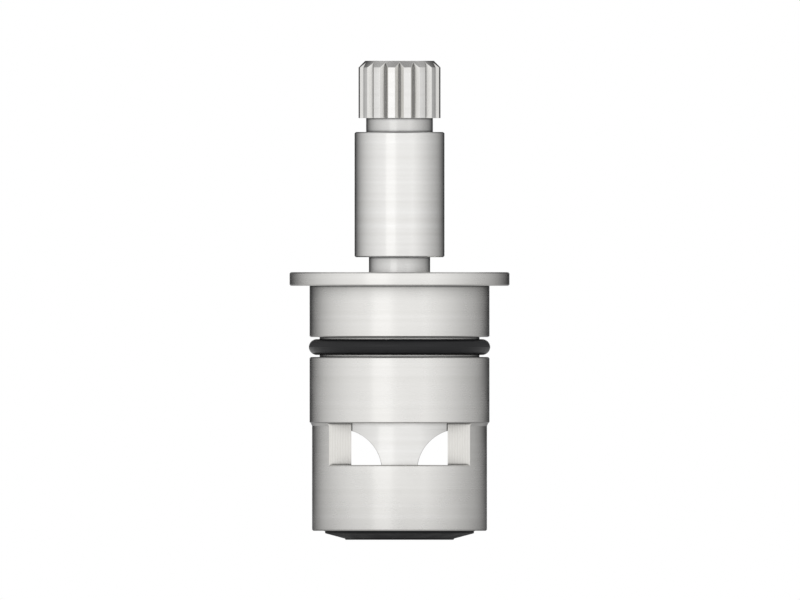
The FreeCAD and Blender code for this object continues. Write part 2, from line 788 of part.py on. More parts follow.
for item in doc.Objects:
    if "Invalid" in item.State or "Error" in item.State:
        raise RuntimeError(f"{item.Name} failed: {item.State}")
for piece in pieces:
    if piece.Shape.isNull() or not piece.Shape.isValid() or len(piece.Shape.Solids) != 1:
        raise RuntimeError(f"{piece.Label} is not one valid solid")

os.makedirs("parts", exist_ok=True)
for piece in pieces:
    piece.Shape.exportStep(f"parts/{piece.Label}.step")
    box = piece.Shape.BoundBox
    print(
        f"{piece.Label}: {piece.Shape.Volume:.2f} mm3,"
        f" z {box.ZMin:.3f} to {box.ZMax:.3f}, {box.XLength:.3f} x {box.YLength:.3f}"
    )
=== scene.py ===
# %% [markdown]
# # A tap cartridge with ceramic discs
#
# The object is the quarter turn cartridge that opens and closes a tap. A turned brass body,
# plated with satin nickel, holds two ceramic discs. A splined spindle turns the upper one
# against the lower one, and black rubber rings keep the water where it belongs.
#
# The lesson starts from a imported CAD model, which is the frame. It gives that model the finish
# of machined metal, moulded rubber and sintered ceramic, and replaces the pieces that need
# more shape than a CAD solid has: threads, small roundings and moulding lines.

# %% Load the frame
import math

import bpy
import numpy as np
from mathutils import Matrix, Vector


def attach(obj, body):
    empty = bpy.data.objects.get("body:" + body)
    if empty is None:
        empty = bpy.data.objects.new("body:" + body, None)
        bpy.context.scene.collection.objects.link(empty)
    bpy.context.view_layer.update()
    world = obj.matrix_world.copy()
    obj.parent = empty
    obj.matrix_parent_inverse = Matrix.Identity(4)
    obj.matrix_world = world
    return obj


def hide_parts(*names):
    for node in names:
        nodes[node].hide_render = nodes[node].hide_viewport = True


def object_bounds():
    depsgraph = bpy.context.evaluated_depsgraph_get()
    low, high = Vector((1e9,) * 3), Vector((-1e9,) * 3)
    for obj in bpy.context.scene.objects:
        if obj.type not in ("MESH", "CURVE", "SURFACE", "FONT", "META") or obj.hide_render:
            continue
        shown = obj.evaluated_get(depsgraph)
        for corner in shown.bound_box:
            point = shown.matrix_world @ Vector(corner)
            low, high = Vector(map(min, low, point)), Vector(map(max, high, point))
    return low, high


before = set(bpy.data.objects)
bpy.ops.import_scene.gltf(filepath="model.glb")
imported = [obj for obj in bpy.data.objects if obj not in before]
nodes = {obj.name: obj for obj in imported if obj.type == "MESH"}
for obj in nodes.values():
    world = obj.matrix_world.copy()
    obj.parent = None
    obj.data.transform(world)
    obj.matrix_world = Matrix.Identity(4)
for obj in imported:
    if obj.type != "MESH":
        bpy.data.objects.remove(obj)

MM = 0.001
scene = bpy.context.scene
cad_low, cad_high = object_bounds()
size_mm = [(high - low) / MM for low, high in zip(cad_low, cad_high)]
print("Its box measures", " x ".join(f"{size:.1f}" for size in size_mm), "mm")

# %% [markdown]
# ## The camera
#
# The reference is a side view drawn without perspective: circles seen from the side are
# straight lines, and both ends of the cartridge have the same scale. An orthographic camera
# gives exactly that. It looks along +Y from the height of the picture's middle, and its scale
# is the width of the picture, 80 mm at 10 pixels to the millimetre.

# %% Camera
PICTURE_WIDTH = 80 * MM
PICTURE_MIDDLE = (0.048 * MM, -1.42 * MM)
CAMERA_DISTANCE = 400 * MM

camera_data = bpy.data.cameras.new("side_view")
camera_data.type = "ORTHO"
camera_data.ortho_scale = PICTURE_WIDTH
camera_data.clip_start = 10 * MM
camera_data.clip_end = 5.0
camera = bpy.data.objects.new("side_view", camera_data)
camera.location = (PICTURE_MIDDLE[0], -CAMERA_DISTANCE, PICTURE_MIDDLE[1])
camera.rotation_euler = (math.radians(90), 0, 0)
scene.collection.objects.link(camera)
scene.camera = camera
print("The picture is", round(camera_data.ortho_scale / MM), "mm wide")

# %% [markdown]
# ## A profile with rounded corners
#
# No machined or moulded edge is perfectly sharp. A lathe hand breaks each edge with a file, and
# rubber comes out of its mould with small radii. A bevel modifier could round the edges of a
# finished mesh, but here the profile itself is rounded before it is turned, so every radius is
# a chosen number. Two guard points, one on each side of the arc, keep the smooth shading of
# the corner from spreading over the flat faces beside it.

# %% Rounded profile
STRAIGHT = 0.9999


def rounded_profile(corners, radius, steps=2, guard=0.02, closed=False):
    """Points of a profile whose corners are arcs.

    u and v point from a corner to its neighbours. An arc of the given radius touches both sides
    at a distance of radius / tan(half the angle between u and v), and its centre lies on the
    bisector, radius / sin(half angle) away. Points on the arc are weighted sums of the two
    arms from the centre, sin((1 - k) s) and sin(k s) over sin(s), s being the arc's angle.
    """
    corner = np.array(corners, float)
    radius = np.broadcast_to(np.array(radius, float), len(corner))[:, None]
    u = np.roll(corner, 1, axis=0) - corner
    v = np.roll(corner, -1, axis=0) - corner
    u /= np.linalg.norm(u, axis=1, keepdims=True)
    v /= np.linalg.norm(v, axis=1, keepdims=True)
    cosine = np.clip((u * v).sum(axis=1, keepdims=True), -STRAIGHT, STRAIGHT)
    half = np.arccos(cosine) / 2
    reach = radius / np.tan(half)
    bisector = (u + v) / np.linalg.norm(u + v, axis=1, keepdims=True)
    centre = corner + bisector * radius / np.sin(half)
    first_arm = (corner + u * reach - centre)[:, None, :]
    last_arm = (corner + v * reach - centre)[:, None, :]
    swing = (np.pi - 2 * half)[:, None, :]
    k = np.linspace(0, 1, steps + 1)[None, :, None]
    arc = np.sin((1 - k) * swing) * first_arm + np.sin(k * swing) * last_arm
    arc = centre[:, None, :] + arc / np.sin(swing)
    before = (corner + u * (reach + guard))[:, None, :]
    after = (corner + v * (reach + guard))[:, None, :]
    points = np.concatenate([before, arc, after], axis=1)
    if closed:
        return points.reshape(-1, 2)
    return np.vstack([corner[:1], points[1:-1].reshape(-1, 2), corner[-1:]])


square = rounded_profile([(0, 0), (1, 0), (1, 1), (0, 1)], 0.2, closed=True)
print("A rounded square has", len(square), "points")

# %% [markdown]
# ## From a grid of points to a mesh
#
# Every new piece is a grid: rows along a profile and columns round the axis. The faces between
# them are found with index arithmetic on whole arrays, with no loop over points.

# %% Grids
def grid_faces(rows, columns, start=0, rows_meet=False):
    """Corner numbers of the quads between neighbouring rows; the last column meets the first."""
    row = np.arange(rows if rows_meet else rows - 1)[:, None]
    column = np.arange(columns)[None, :]
    below = (row + 1) % rows
    beside = (column + 1) % columns
    corners = [row * columns + column, row * columns + beside]
    corners += [below * columns + beside, below * columns + column]
    return start + np.stack(corners, axis=-1).reshape(-1, 4)


def turned_points(radius, height, angle):
    """Points from radius, height and angle: x = r cos a, y = r sin a, z = h."""
    place = np.broadcast_arrays(radius * np.cos(angle), radius * np.sin(angle), height)
    return np.stack(place, axis=-1).reshape(-1, 3)

# %% [markdown]
# A closed surface must have its faces turned outwards, and the sign of its volume tells whether
# they are. Each triangle makes a small pyramid with the origin, and the volumes add up to a
# positive number only when the triangles are seen anticlockwise from outside.

# %% Pieces
def enclosed_volume(points, faces):
    """Sum of a . (b x c) / 6 over the fan of triangles of every face."""
    total = 0.0
    for corners in sorted({len(face) for face in faces}):
        same = np.array([face for face in faces if len(face) == corners])
        for step in range(1, corners - 1):
            a, b, c = points[same[:, 0]], points[same[:, step]], points[same[:, step + 1]]
            total += float((a * np.cross(b, c)).sum()) / 6
    return total


def set_finishes(mesh, finishes, chosen=0):
    """Give a mesh its finishes; chosen holds the number of each face's finish."""
    mesh.materials.clear()
    for finish in finishes:
        mesh.materials.append(finish)
    chosen = np.array(np.broadcast_to(chosen, len(mesh.polygons)), np.int32)
    mesh.polygons.foreach_set("material_index", chosen)
    mesh.update()


def add_mesh(name, points, faces, finishes, chosen=0):
    """A new object in the scene, from points in metres."""
    mesh = bpy.data.meshes.new(name)
    mesh.from_pydata(points.tolist(), [], faces)
    set_finishes(mesh, finishes, chosen)
    thing = bpy.data.objects.new(name, mesh)
    scene.collection.objects.link(thing)
    return thing


def add_piece(name, points, faces, body, node, finishes, chosen=0):
    """Turn a mesh's faces outwards, and hang the piece on its body in the frame."""
    faces = [tuple(face) for face in faces]
    volume = enclosed_volume(points, faces)
    if volume < 0:
        faces = [face[::-1] for face in faces]
    piece = add_mesh(name, points * MM, faces, finishes, chosen)
    piece.data.shade_smooth()
    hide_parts(node)
    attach(piece, body)
    triangles = sum(len(face) - 2 for face in faces)
    print(f"{name}: {triangles} triangles, {abs(volume):.1f} cubic mm")


def add_ring(name, profile, columns, body, node, finish):
    """A closed profile turned all the way round the axis."""
    angle = np.linspace(0, 2 * np.pi, columns, endpoint=False)[None, :]
    points = turned_points(profile[:, :1], profile[:, 1:], angle)
    faces = grid_faces(len(profile), columns, rows_meet=True)
    add_piece(name, points, faces, body, node, [finish])

# %% [markdown]
# ## Helpers for the finishes
#
# A finish is a small graph of shader nodes. These helpers add a node and fill its inputs in one
# line, so a graph reads like a list. What is the same all over a surface is a plain number on
# the shader itself, and only what varies comes from other nodes.

# %% Nodes
METAL = {"Metallic": 1.0, "Specular Tint": (0.35, 0.35, 0.36, 1)}


def set_inputs(node, inputs):
    """Fill a node's inputs, each with a number, a colour, another node or one of its outputs."""
    for key, source in inputs.items():
        if isinstance(source, bpy.types.Node):
            source = source.outputs[0]
        if isinstance(source, bpy.types.NodeSocket):
            node.id_data.links.new(source, node.inputs[key])
        else:
            node.inputs[key].default_value = source
    return node


def add_node(owner, kind, inputs=None, **settings):
    """A new node of a material or world, with its settings made and its inputs filled."""
    node = owner.node_tree.nodes.new("ShaderNode" + kind)
    for name, choice in settings.items():
        setattr(node, name, choice)
    return set_inputs(node, inputs or {})


def set_shader(finish, inputs):
    """Fill inputs of the material's own Principled shader."""
    set_inputs(finish.node_tree.nodes["Principled BSDF"], inputs)


def new_finish(name, color, roughness, even=None):
    """A material, with the colour and numbers that are even all over its surface.

    Metal gets a dark tint for the light that grazes it, as real nickel and steel have, so a
    round piece keeps a clear outline from every side.
    """
    finish = bpy.data.materials.new(name)
    finish.use_nodes = True
    set_shader(finish, {"Base Color": (*color, 1), "Roughness": roughness, **(even or {})})
    return finish

# %% [markdown]
# All patterns read Object coordinates, so they stay on the metal when the spindle turns. What
# matters on a turned part is the height and the distance from the axis. Two kinds of noise make
# the patterns: stripes in one direction, for the marks of tools, and mottle in all directions.

# %% Sums and patterns
def do_math(owner, operation, *terms):
    """One sum on numbers or outputs."""
    return add_node(owner, "Math", dict(enumerate(terms)), operation=operation).outputs[0]


def map_range(owner, amount, low, high, new_low, new_high, **settings):
    """Carry an amount from one range to another, held at its ends."""
    inputs = {0: amount, 1: low, 2: high, 3: new_low, 4: new_high}
    return add_node(owner, "MapRange", inputs, **settings).outputs[0]


def blend_colors(finish, amount, low_color, high_color):
    """Mix of two colours by an amount from 0 to 1."""
    inputs = {0: amount, 6: (*low_color, 1), 7: (*high_color, 1)}
    return add_node(finish, "Mix", inputs, data_type="RGBA").outputs[2]


def object_place(finish):
    """The place of a point, in the piece's own coordinates."""
    return add_node(finish, "TexCoord").outputs["Object"]


def split_place(finish, place):
    """X, Y and Z of a place, and its distance from the axis."""
    x, y, z = add_node(finish, "SeparateXYZ", {0: place}).outputs
    level = add_node(finish, "CombineXYZ", {0: x, 1: y})
    distance = add_node(finish, "VectorMath", {0: level}, operation="LENGTH")
    return x, y, z, distance.outputs["Value"]


def stripes(finish, along, per_mm, detail):
    """Noise in one direction only, with about per_mm stripes to the millimetre."""
    inputs = {"W": along, "Scale": per_mm / MM, "Detail": detail, "Roughness": 0.6}
    return add_node(finish, "TexNoise", inputs, noise_dimensions="1D").outputs[0]


def mottle(finish, place, per_mm, detail):
    """Soft noise in all directions, with about per_mm spots to the millimetre."""
    inputs = {"Vector": place, "Scale": per_mm / MM, "Detail": detail, "Roughness": 0.55}
    return add_node(finish, "TexNoise", inputs, noise_dimensions="3D").outputs[0]


def show_pattern(finish, color, marks, span, rough, relief, depth_mm):
    """The finish's colour, its roughness where marks cross the span, and relief of a depth."""
    roughness = map_range(finish, marks, *span, *rough)
    bump = add_node(finish, "Bump", {"Distance": depth_mm * MM, "Height": relief})
    set_shader(finish, {"Base Color": color, "Roughness": roughness, "Normal": bump})

# %% [markdown]
# ## Nickel plating over turned brass
#
# The body comes off a lathe and is then plated. The tool leaves rings a tenth of a millimetre
# apart, which the thin plating only softens. A strong bump could make them, but rings as fine
# as that turn into grain on the picture. The marks of a lathe stretch every reflection across
# themselves, and the shader's anisotropy does that without any bump.
#
# Inner corners get painted shade: the colour is darkened in them, where shade would fall.

# %% Brushed reflections and painted corner shade
def brush(finish, strength, x, y):
    """Reflections stretched across the marks that run round the axis.

    The way round the axis is (-y, x, 0) in the piece's own coordinates, turned with the piece
    into the world's. A quarter turn of the anisotropy then stretches reflections across it.
    """
    way = add_node(finish, "CombineXYZ", {0: do_math(finish, "MULTIPLY", y, -1.0), 1: x})
    turned = add_node(
        finish, "VectorTransform", {0: way},
        vector_type="VECTOR", convert_from="OBJECT", convert_to="WORLD",
    )
    set_shader(
        finish, {"Tangent": turned, "Anisotropic": strength, "Anisotropic Rotation": 0.25}
    )


def paint_corner_shade(finish, color):
    """The colour, darkened by painted shade in the inner corners of a piece.

    Ambient occlusion measures the share of open space round a point within a given reach: half
    in a square corner, and all of it a reach away, where the colour is whole. A short reach
    makes a dark line in the corner, and a longer one a faint shade beside it. Only the piece's
    own surfaces count, so nothing slides on it when its neighbour turns.
    """
    shades = []
    for reach_mm, darkest in ((0.28, 0.10), (1.8, 0.72)):
        space = add_node(
            finish, "AmbientOcclusion", {"Distance": reach_mm * MM}, samples=8, only_local=True
        )
        shades.append(map_range(finish, space.outputs["AO"], 0.5, 0.92, darkest, 1.0))
    inputs = {0: 1.0, 6: color, 7: do_math(finish, "MULTIPLY", *shades)}
    mix = add_node(finish, "Mix", inputs, data_type="RGBA", blend_type="MULTIPLY")
    return mix.outputs[2]

# %% [markdown]
# The rings that can be seen are faint changes of tone: stripes of noise along the height plus
# the radius, a sum that grows steadily along walls and faces alike. A wider set of stripes
# stands for the places where the feed changed, and a soft mottle of the roughness for the
# slightly uneven plating. The relief is less than a thousandth of a millimetre.

# %% Turned nickel
def turned_nickel(name, colors, rough, depth_mm):
    """Plated metal with lathe rings."""
    finish = new_finish(name, colors[1], rough[1], METAL)
    place = object_place(finish)
    x, y, z, radius = split_place(finish, place)
    brush(finish, 0.6, x, y)
    along = do_math(finish, "ADD", z, radius)
    fine = stripes(finish, along, 11.0, 3.0)
    tone = do_math(finish, "MULTIPLY_ADD", fine, 0.35, stripes(finish, along, 1.3, 1.0))
    tone = map_range(finish, tone, 0.35, 1.0, 0.0, 1.0)
    # The colour gets painted shade in the inner corners.
    color = paint_corner_shade(finish, blend_colors(finish, tone, *colors))
    uneven = do_math(finish, "MULTIPLY_ADD", fine, 0.6, mottle(finish, place, 0.45, 0.0))
    show_pattern(finish, color, uneven, (0.5, 1.1), rough, fine, depth_mm)
    return finish


body_nickel = turned_nickel(
    "satin_nickel_turned", ((0.80, 0.79, 0.765), (0.85, 0.84, 0.82)), (0.22, 0.29), 0.0008
)
spindle_nickel = turned_nickel(
    "bright_nickel_turned", ((0.81, 0.80, 0.78), (0.87, 0.865, 0.85)), (0.18, 0.24), 0.0006
)
print("Turned finishes:", body_nickel.name, "and", spindle_nickel.name)

# %% [markdown]
# ## Milled faces
#
# The windows of the cage and the scoops of the spindle's foot are cut with an end mill, after
# turning. Each bite of its teeth leaves a shallow scallop, at an even pitch along the feed. They
# are straight, so a sine of one coordinate is the right pattern, broken up by a little noise.

# %% Milled nickel
def milled_nickel(name, colors, pitch_mm):
    """Plated metal with the even scallops of an end mill, which was fed along X."""
    finish = new_finish(name, colors[1], 0.3, METAL)
    place = object_place(finish)
    x = add_node(finish, "SeparateXYZ", {0: place}).outputs["X"]
    drifting = do_math(finish, "MULTIPLY_ADD", mottle(finish, place, 1.0, 3.0), 0.25 * MM, x)
    turn = do_math(finish, "MULTIPLY", drifting, 2 * math.pi / (pitch_mm * MM))
    wave = do_math(finish, "MULTIPLY_ADD", do_math(finish, "SINE", turn), 0.5, 0.5)
    scratch = stripes(finish, x, 24.0, 2.0)
    height = do_math(finish, "MULTIPLY_ADD", scratch, 0.5, wave)
    tone = map_range(finish, height, 0.0, 1.5, 0.0, 1.0)
    # The colour gets painted shade in the inner corners.
    color = paint_corner_shade(finish, blend_colors(finish, tone, *colors))
    show_pattern(finish, color, scratch, (0.2, 0.8), (0.24, 0.38), height, 0.0007)
    return finish


milled_body = milled_nickel(
    "satin_nickel_milled", ((0.73, 0.715, 0.68), (0.80, 0.785, 0.755)), 0.26
)
milled_foot = milled_nickel(
    "bright_nickel_milled", ((0.74, 0.73, 0.70), (0.83, 0.82, 0.80)), 0.24
)
print("Milled finishes:", milled_body.name, "and", milled_foot.name)

# %% [markdown]
# ## Splines and spring steel
#
# The V grooves of the head are cut lengthwise, so their flanks carry marks that run along the
# spindle. The clip and the sleeve in the seal are stainless strip, which has the grain of the
# rolls. Noise stretched fifty times in height, or 25 times along X, gives such marks.

# %% Metal with lengthwise marks
def drawn_marks(finish, shrink, per_mm, detail):
    """Noise stretched where shrink is below 1, which makes marks in that direction."""
    inputs = {"Vector": object_place(finish), "Scale": shrink}
    return mottle(finish, add_node(finish, "Mapping", inputs), per_mm, detail)


cut_flank = new_finish("bright_nickel_cut", (0.84, 0.83, 0.81), 0.25, METAL)
marks = drawn_marks(cut_flank, (1, 1, 0.02), 14.0, 2.0)
flank_color = blend_colors(cut_flank, marks, (0.74, 0.73, 0.70), (0.88, 0.87, 0.85))
# The colour gets painted shade in the inner corners.
flank_color = paint_corner_shade(cut_flank, flank_color)
show_pattern(cut_flank, flank_color, marks, (0.3, 0.7), (0.16, 0.32), marks, 0.004)

clip_steel = new_finish("rolled_spring_steel", (0.62, 0.62, 0.63), 0.38, METAL)
grain = drawn_marks(clip_steel, (0.04, 1, 1), 18.0, 3.0)
steel_color = blend_colors(clip_steel, grain, (0.55, 0.55, 0.56), (0.68, 0.68, 0.69))
show_pattern(clip_steel, steel_color, grain, (0.3, 0.7), (0.22, 0.38), grain, 0.003)
print("Finishes with marks:", cut_flank.name, "and", clip_steel.name)

# %% [markdown]
# ## Rubber
#
# Nitrile rings are smooth and carry a film of silicone grease, so they shine softly. The seal
# is moulded in a sparked steel mould, and its skin is matt. One function makes both: the grease
# is a thin coat over the rubber, and the skin is a fine noise raised by different amounts.

# %% Black rubber
def black_rubber(name, color, rough, grain_per_mm, grain_mm, film):
    """Black rubber with a fine skin, and a film of grease where film is above 0."""
    even = {"Specular IOR Level": 0.3, "Coat Weight": film, "Coat Roughness": 0.18}
    finish = new_finish(name, color, rough[1], even)
    place = object_place(finish)
    wipe = mottle(finish, place, 0.7, 2.0)
    pale = tuple(channel * 1.7 for channel in color)
    tint = blend_colors(finish, wipe, color, pale)
    skin = mottle(finish, place, grain_per_mm, 2.0)
    show_pattern(finish, tint, wipe, (0.35, 0.65), rough, skin, grain_mm)
    return finish


greased_rubber = black_rubber(
    "greased_ring_rubber", (0.006, 0.006, 0.007), (0.34, 0.48), 9.0, 0.004, 0.08
)
moulded_rubber = black_rubber(
    "moulded_seal_rubber", (0.010, 0.010, 0.011), (0.55, 0.70), 16.0, 0.012, 0.0
)
print("Rubber finishes:", greased_rubber.name, "and", moulded_rubber.name)

# %% [markdown]
# ## Ceramic and acetal
#
# Alumina is white with a faint warm tint. It is dry where it is as sintered, and like glass
# where it is lapped, so the two differ in roughness and relief only. The slip washers are milky
# acetal with the rings of turning. A little light under the skin keeps both from looking like
# paint.

# %% Pale materials
def pale_finish(name, color, roughness, weight, spread, scale_mm):
    """A finish that lets a little light under its skin."""
    even = {
        "Subsurface Weight": weight,
        "Subsurface Radius": spread,
        "Subsurface Scale": scale_mm * MM,
    }
    return new_finish(name, color, roughness, even)


def alumina(name, rough, depth_mm):
    """White sintered ceramic, with fine grain and faint clouds."""
    finish = pale_finish(name, (0.90, 0.89, 0.86), rough[1], 0.12, (1.0, 0.9, 0.8), 0.4)
    place = object_place(finish)
    clouds = mottle(finish, place, 0.5, 2.0)
    grain = mottle(finish, place, 20.0, 2.0)
    color = blend_colors(finish, clouds, (0.86, 0.85, 0.815), (0.93, 0.925, 0.90))
    show_pattern(finish, color, grain, (0.3, 0.7), rough, grain, depth_mm)
    return finish


sintered_alumina = alumina("sintered_alumina", (0.42, 0.58), 0.004)
lapped_alumina = alumina("lapped_alumina", (0.05, 0.12), 0.0006)

washer_acetal = pale_finish("slip_acetal", (0.86, 0.86, 0.83), 0.38, 0.2, (1.0, 1.0, 0.9), 0.5)
_, _, z, radius = split_place(washer_acetal, object_place(washer_acetal))
rings = stripes(washer_acetal, do_math(washer_acetal, "ADD", z, radius), 9.0, 2.0)
washer_color = blend_colors(washer_acetal, rings, (0.82, 0.82, 0.785), (0.88, 0.88, 0.855))
show_pattern(washer_acetal, washer_color, rings, (0.3, 0.7), (0.30, 0.46), rings, 0.003)
print("Pale finishes:", sintered_alumina.name, lapped_alumina.name, washer_acetal.name)

# %% [markdown]
# ## Finishes on the CAD pieces
#
# The body and the two discs keep their CAD shape, which is right as it is. Each gets two
# finishes, and the place and direction of a face decide which: the flats of the windows are
# milled while the rest is turned, and the sliding faces of the discs are lapped while their
# rims are as sintered. Faces are sorted with whole arrays of their centres and normals.

# %% Sort faces by place
WINDOW_FLAT, WINDOW_TOP, WINDOW_SILL = 5.18, -13.74, -17.92
CLOSE = 0.02
SQUARE_TO = 0.99


def face_places(node):
    """Centres in millimetres and unit normals of a CAD node's faces, as arrays."""
    polygons = nodes[node].data.polygons
    centre = np.empty(len(polygons) * 3)
    normal = np.empty(len(polygons) * 3)
    polygons.foreach_get("center", centre)
    polygons.foreach_get("normal", normal)
    return centre.reshape(-1, 3) / MM, normal.reshape(-1, 3)


def dress_node(node, finishes, chosen):
    """Give a CAD node two finishes; chosen tells which faces have the second."""
    set_finishes(nodes[node].data, finishes, chosen)
    print(f"{node}: {int(np.sum(chosen))} of {len(chosen)} faces have the second finish")


centre, normal = face_places("cartridge_body")
from_middle, height = np.abs(centre[:, 1]), centre[:, 2]
on_flat = (np.abs(from_middle - WINDOW_FLAT) < CLOSE) & (np.abs(normal[:, 1]) > SQUARE_TO)
on_flat &= (height < WINDOW_TOP + CLOSE) & (height > WINDOW_SILL - CLOSE)
on_ledge = (np.abs(height - WINDOW_TOP) < CLOSE) | (np.abs(height - WINDOW_SILL) < CLOSE)
on_ledge &= (from_middle > WINDOW_FLAT) & (np.abs(normal[:, 2]) > SQUARE_TO)
dress_node("cartridge_body", [body_nickel, milled_body], on_flat | on_ledge)

for disc in ("moving_disc", "fixed_disc"):
    _, normal = face_places(disc)
    dress_node(disc, [sintered_alumina, lapped_alumina], np.abs(normal[:, 2]) > SQUARE_TO)

# %% [markdown]
# ## The splined spindle
#
# The spindle is the hardest piece: sixteen V grooves, a threaded hole, two ring grooves, stop
# lugs and a foot with two scoops. It is one closed surface. Rows run down the profile, and
# there are 288 columns, 18 to a tooth. Where a corner runs along the surface, such as the edge
# of a groove, the columns bend so that one of them lies exactly on it.
#
# First the section of the head. The wall of a V groove leaves the root at 45 degrees, so a
# point on it is (root + t c, t c), with c from 0 at the root to 1 at the land. The size of t is
# where the wall meets a circle of radius R: t = (sqrt(2 R R - root root) - root) / 2.

# %% Section of the splined head
TEETH = 16
SPLINE_ROOT, SPLINE_LAND = 3.645, 4.12
PITCH_ANGLE = 2 * np.pi / TEETH
WALL_SHARE = np.array([0, 0.06, 0.35, 0.65, 0.94, 1.0])
LAND_SHARE = np.array([0.04, 0.2, 0.36, 0.5, 0.64, 0.8, 0.96])
TOOTH_COLUMNS = 2 * len(WALL_SHARE) - 1 + len(LAND_SHARE)
COLUMNS = TEETH * TOOTH_COLUMNS


def wall_size(radius):
    """Size of the groove's wall where it meets a circle of that radius."""
    inside = np.maximum(2 * radius**2 - SPLINE_ROOT**2, SPLINE_ROOT**2)
    return (np.sqrt(inside) - SPLINE_ROOT) / 2


def head_section(radius, spread=None):
    """Angles and radii of one row of the head; spread sets only the angles of a plain circle."""
    size = wall_size(radius) if spread is None else spread
    along = SPLINE_ROOT + size * WALL_SHARE
    wall_angle = np.arctan2(size * WALL_SHARE, along)
    wall_radius = np.hypot(size * WALL_SHARE, along)
    edge = wall_angle[-1]
    land_angle = edge + (PITCH_ANGLE - 2 * edge) * LAND_SHARE
    land_radius = np.full(len(LAND_SHARE), radius)
    angle = np.concatenate([wall_angle, land_angle, PITCH_ANGLE - wall_angle[:0:-1]])
    reach = np.concatenate([wall_radius, land_radius, wall_radius[:0:-1]])
    if spread is not None:
        reach = np.full(TOOTH_COLUMNS, radius)
    start = -np.pi / 2 + PITCH_ANGLE * np.arange(TEETH)[:, None]
    return (start + angle).ravel(), np.tile(reach, TEETH)


print(f"{COLUMNS} columns, groove {SPLINE_LAND - SPLINE_ROOT:.3f} mm deep")

# %% [markdown]
# The rows of the head start at the rim of the screw hole, cross the flat top, come down the
# chamfer, where the grooves begin in a point, and run along the teeth to the undercut. Above
# the point a groove has no width, so there the columns are spread on a plain circle.

# %% Rows of the head
HEAD_TOP, CHAMFER_FOOT, HEAD_FOOT = 22.5, 21.83, 16.77
HOLE_RIM, CHAMFER_RIM, UNDERCUT = 2.10, 3.45, 3.34
GUARD = 0.025


def head_rows():
    """Rows of the head, each with its angles, its radii and its height."""
    rows = []
    for radius in (HOLE_RIM + 0.03, CHAMFER_RIM - 0.03):
        rows.append((*head_section(radius, 0.45), HEAD_TOP))
    for radius, spread in ((CHAMFER_RIM, 0.40), (3.48, 0.32), (3.54, 0.18), (3.61, 0.06)):
        rows.append((*head_section(radius, spread), HEAD_TOP - (radius - CHAMFER_RIM)))
    for radius in (3.66, 3.70, 3.76, 3.83, 3.91, 4.0, 4.095, SPLINE_LAND):
        rows.append((*head_section(radius), HEAD_TOP - (radius - CHAMFER_RIM)))
    angle, radius = head_section(SPLINE_LAND)
    for height in (CHAMFER_FOOT - GUARD, 19.3, HEAD_FOOT + GUARD, HEAD_FOOT):
        rows.append((angle, radius, height))
    for share in (0.94, 0.35):
        rows.append((angle, UNDERCUT + (radius - UNDERCUT) * share, HEAD_FOOT))
    return rows


print("The head has", len(head_rows()), "rows")

# %% [markdown]
# The stem and the shaft are plain turning, so their rows come from a rounded profile. It starts
# at the undercut below the splines, goes round the two ring grooves, and ends where the shaft
# meets the collar.

# %% Rows of the stem and shaft
STEM, NECK, SHAFT_GROOVE = 4.5, 3.065, 3.3
STEM_TOP, STEM_FOOT, NECK_FOOT, COLLAR_TOP = 15.38, 2.86, -0.01, -10.2
EDGE_BREAK = 0.12
stem_corners = [
    (UNDERCUT + 0.08, HEAD_FOOT),
    (UNDERCUT, HEAD_FOOT),
    (UNDERCUT, STEM_TOP),
    (STEM - EDGE_BREAK, STEM_TOP),
    (STEM, STEM_TOP - EDGE_BREAK),
    (STEM, STEM_FOOT + EDGE_BREAK),
    (STEM - EDGE_BREAK, STEM_FOOT),
    (NECK, STEM_FOOT),
    (NECK, NECK_FOOT),
    (STEM, NECK_FOOT),
]
for top, foot in ((-1.95, -3.85), (-5.35, -7.25)):
    stem_corners += [(STEM, top), (SHAFT_GROOVE, top), (SHAFT_GROOVE, foot), (STEM, foot)]
stem_corners.append((STEM, COLLAR_TOP))
stem_profile = rounded_profile(stem_corners, 0.04)
print("The stem and shaft have", len(stem_profile), "rows")

# %% [markdown]
# The foot has corners that follow the axis at first, at the sides of the stop lugs, and then
# curve: a scoop leaves a flat blade whose side meets the round foot along a bent line. At a
# given height the blade is |x| < w, with w = 6 - 4.24 sin(s) at the height
# -18.58 + 4.24 cos(s), which is a circle seen from the front. In polar form the section is
# the smaller of 7 and w / |cos a|, and the corner lies at cos a = w / 7. One column in each
# quarter is led along that line.

# %% Sections of the foot
FOOT, COLLAR = 7.0, 5.8
LUG_START, LUG_END = math.radians(15.4), math.radians(74.6)
SCOOP_RADIUS, SCOOP_MIDDLE, SCOOP_HEIGHT = 4.24, 6.0, -18.58
QUARTER = COLUMNS // 4
CORNER_COLUMN = 24
LEAP = 2e-4
number = np.arange(QUARTER)


def around(first):
    """Angles of all columns from one quarter's, measured from the X axis, mirrored in turn."""
    closing = np.append(first, np.pi / 2)
    back = closing[:0:-1]
    return np.concatenate([-back, closing[:-1], np.pi - back, np.pi + closing[:-1]])


lug_knots = [0, 12, 13, 59, 60, QUARTER]
lug_angles = [0, LUG_START - LEAP, LUG_START + LEAP, LUG_END - LEAP, LUG_END + LEAP, np.pi / 2]
lug_angle = around(np.interp(number, lug_knots, lug_angles))
on_lug = (lug_angle % np.pi > LUG_START) & (lug_angle % np.pi < LUG_END)
lug_radius = np.where(on_lug, FOOT, COLLAR)


def foot_section(half_width):
    """Angles and radii of a section of the foot, with one column on the blade's corner."""
    corner = math.acos(half_width / FOOT)
    side = math.sqrt(FOOT**2 - half_width**2)
    share = np.interp(number, [0, CORNER_COLUMN - 1, CORNER_COLUMN], [0, 0.985, 1.0])
    flat_angle = np.arctan2(side * share, half_width)
    round_knots = [CORNER_COLUMN, CORNER_COLUMN + 1, QUARTER]
    round_angle = np.interp(number, round_knots, [corner, corner + 0.01, np.pi / 2])
    angle = around(np.where(number <= CORNER_COLUMN, flat_angle, round_angle))
    radius = np.minimum(FOOT, half_width / np.maximum(np.abs(np.cos(angle)), 1e-6))
    return angle, radius


